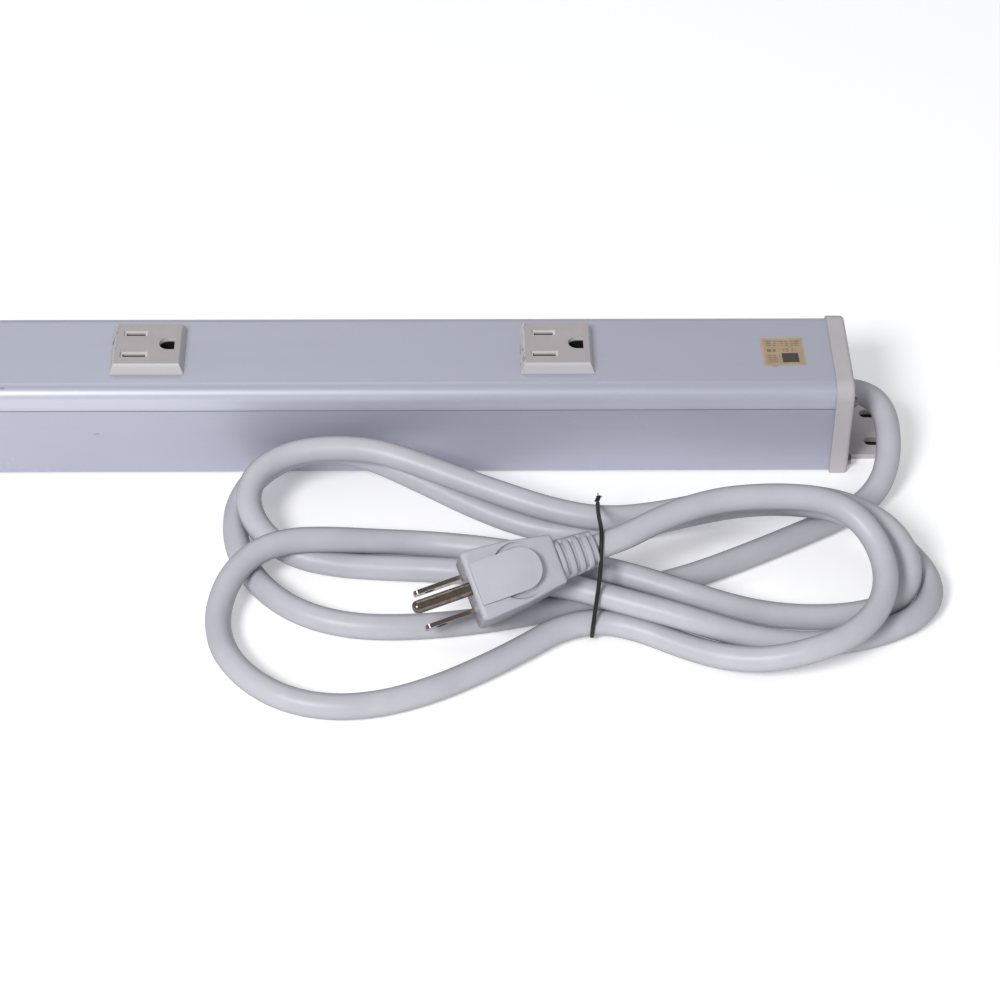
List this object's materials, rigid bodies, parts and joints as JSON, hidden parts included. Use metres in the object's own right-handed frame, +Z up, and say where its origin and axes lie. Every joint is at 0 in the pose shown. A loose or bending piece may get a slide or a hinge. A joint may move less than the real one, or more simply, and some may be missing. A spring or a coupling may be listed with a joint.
{
  "type": "power strip",
  "caption": "Metal-cased power strip with raised grounded outlets, slotted mounting ears and a tied coil of supply cord ending in a moulded plug.",
  "frame": {"origin": "on the surface that the strip stands on, midway along and across the case", "axes": "+Z up through the outlet faces, +X along the case towards the end where the cord leaves, +Y to the back, away from the coiled cord"},
  "size_m": [0.6526, 0.1818, 0.0437],
  "materials": {
    "case_metal": "grey painted or anodised, satin",
    "fibre": "grey-brown fibre sheet",
    "inner_plastic": "matt black",
    "contact_brass": "plain",
    "lead_black": "smooth",
    "lead_white": "smooth",
    "lead_green": "smooth",
    "outlet_plastic": "moulded, satin",
    "label_paper": "paper label",
    "cap_plastic": "moulded, satin",
    "screw_steel": "plated",
    "cord_jacket": "smooth vinyl",
    "plug_plastic": "smooth vinyl",
    "tie_black": "coated wire",
    "pin_metal": "nickel plated"
  },
  "bodies": {
    "root": {"base_channel": "case_metal", "top_cover": "case_metal", "insulating_liner": "fibre", "bus_spacers": "inner_plastic", "line_bus_bar": "contact_brass", "neutral_bus_bar": "contact_brass", "ground_bus_bar": "contact_brass", "line_lead": "lead_black", "neutral_lead": "lead_white", "ground_lead": "lead_green", "outlet_face_1": "outlet_plastic", "outlet_housing_1": "inner_plastic", "line_contact_1": "contact_brass", "neutral_contact_1": "contact_brass", "ground_contact_1": "contact_brass", "outlet_face_2": "outlet_plastic", "outlet_housing_2": "inner_plastic", "line_contact_2": "contact_brass", "neutral_contact_2": "contact_brass", "ground_contact_2": "contact_brass", "outlet_face_3": "outlet_plastic", "outlet_housing_3": "inner_plastic", "line_contact_3": "contact_brass", "neutral_contact_3": "contact_brass", "ground_contact_3": "contact_brass", "outlet_face_4": "outlet_plastic", "outlet_housing_4": "inner_plastic", "line_contact_4": "contact_brass", "neutral_contact_4": "contact_brass", "ground_contact_4": "contact_brass", "rating_label": "label_paper", "cord_clamp": "inner_plastic", "cord_inside": "cord_jacket", "end_cap_cord": "cap_plastic", "cap_screws_cord": "screw_steel", "end_cap_plain": "cap_plastic", "cap_screws_plain": "screw_steel", "cord_tube": "cord_jacket", "cord_hank": "cord_jacket", "twist_tie": "tie_black", "plug_strain_relief": "plug_plastic", "plug_body": "plug_plastic", "plug_line_blade": "pin_metal", "plug_neutral_blade": "pin_metal", "plug_ground_pin": "pin_metal"}
  },
  "joints": []
}
